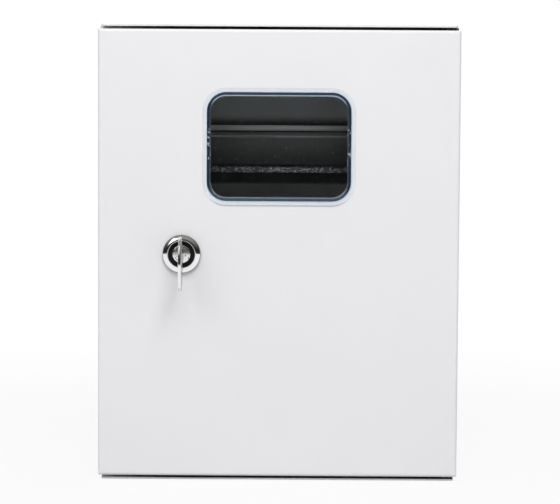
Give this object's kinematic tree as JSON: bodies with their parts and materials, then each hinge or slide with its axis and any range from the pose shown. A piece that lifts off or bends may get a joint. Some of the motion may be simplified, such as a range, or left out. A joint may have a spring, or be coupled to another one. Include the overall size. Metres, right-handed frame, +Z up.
{
  "type": "electric meter box",
  "caption": "Light grey sheet-steel wall box for an electricity meter: hinged door with a clear rounded window, key cam lock, folded rim seal, inner device rails and terminal bars.",
  "frame": {"origin": "centre of the four wall holes, on the back face that lies on the wall", "axes": "+Z up, -Y out of the wall towards the viewer of the door, +X to the hinge side"},
  "size_m": [0.25, 0.1579, 0.3164],
  "materials": {
    "grey_paint": "smooth satin powder coat, light neutral grey",
    "zinc_steel": "zinc-plated steel",
    "brass": "plain drawn brass",
    "chrome": "bright plating",
    "nickel_key": "nickel-plated, fine scratches",
    "foam_rubber": "closed-cell foam",
    "clear_plastic": "clear moulded plastic",
    "nylon": "natural nylon",
    "blue_plastic": "moulded",
    "green_plastic": "moulded"
  },
  "bodies": {
    "cabinet": {"cabinet_shell": "grey_paint", "hinge_pin_top": "zinc_steel", "hinge_pin_bottom": "zinc_steel", "upper_rail": "zinc_steel", "lower_rail": "zinc_steel", "rail_studs": "zinc_steel", "rail_washers": "zinc_steel", "rail_nuts": "zinc_steel", "neutral_bar": "brass", "neutral_posts": "blue_plastic", "neutral_screws": "zinc_steel", "earth_bar": "brass", "earth_posts": "green_plastic", "earth_screws": "zinc_steel", "post_rivets": "zinc_steel", "earth_stud": "zinc_steel", "earth_washer": "zinc_steel", "earth_nut": "zinc_steel"},
    "door": {"door_panel": "grey_paint", "door_gasket": "foam_rubber", "window_pane": "clear_plastic", "hinge_bush_top": "nylon", "hinge_bush_bottom": "nylon", "lock_housing": "chrome", "lock_washer": "zinc_steel", "lock_nut": "zinc_steel", "door_earth_stud": "zinc_steel", "door_earth_washer": "zinc_steel", "door_earth_nut": "zinc_steel"},
    "lock_plug": {"lock_plug": "chrome", "lock_cam": "zinc_steel", "cam_washer": "zinc_steel", "cam_screw": "zinc_steel"},
    "key": {"key": "nickel_key"}
  },
  "joints": [
    {"name": "door_hinge", "type": "hinge", "parent": "cabinet", "child": "door", "pos_m": [0.117, -0.1165, 0], "axis": [0, 0, 1], "range_deg": [0, 180]},
    {"name": "lock_turn", "type": "hinge", "parent": "door", "child": "lock_plug", "pos_m": [-0.067, -0.125, 0], "axis": [0, 1, 0], "range_deg": [0, 90]},
    {"name": "key_pull", "type": "slide", "parent": "lock_plug", "child": "key", "axis": [0, -1, 0], "range_m": [0, 0.03]}
  ]
}
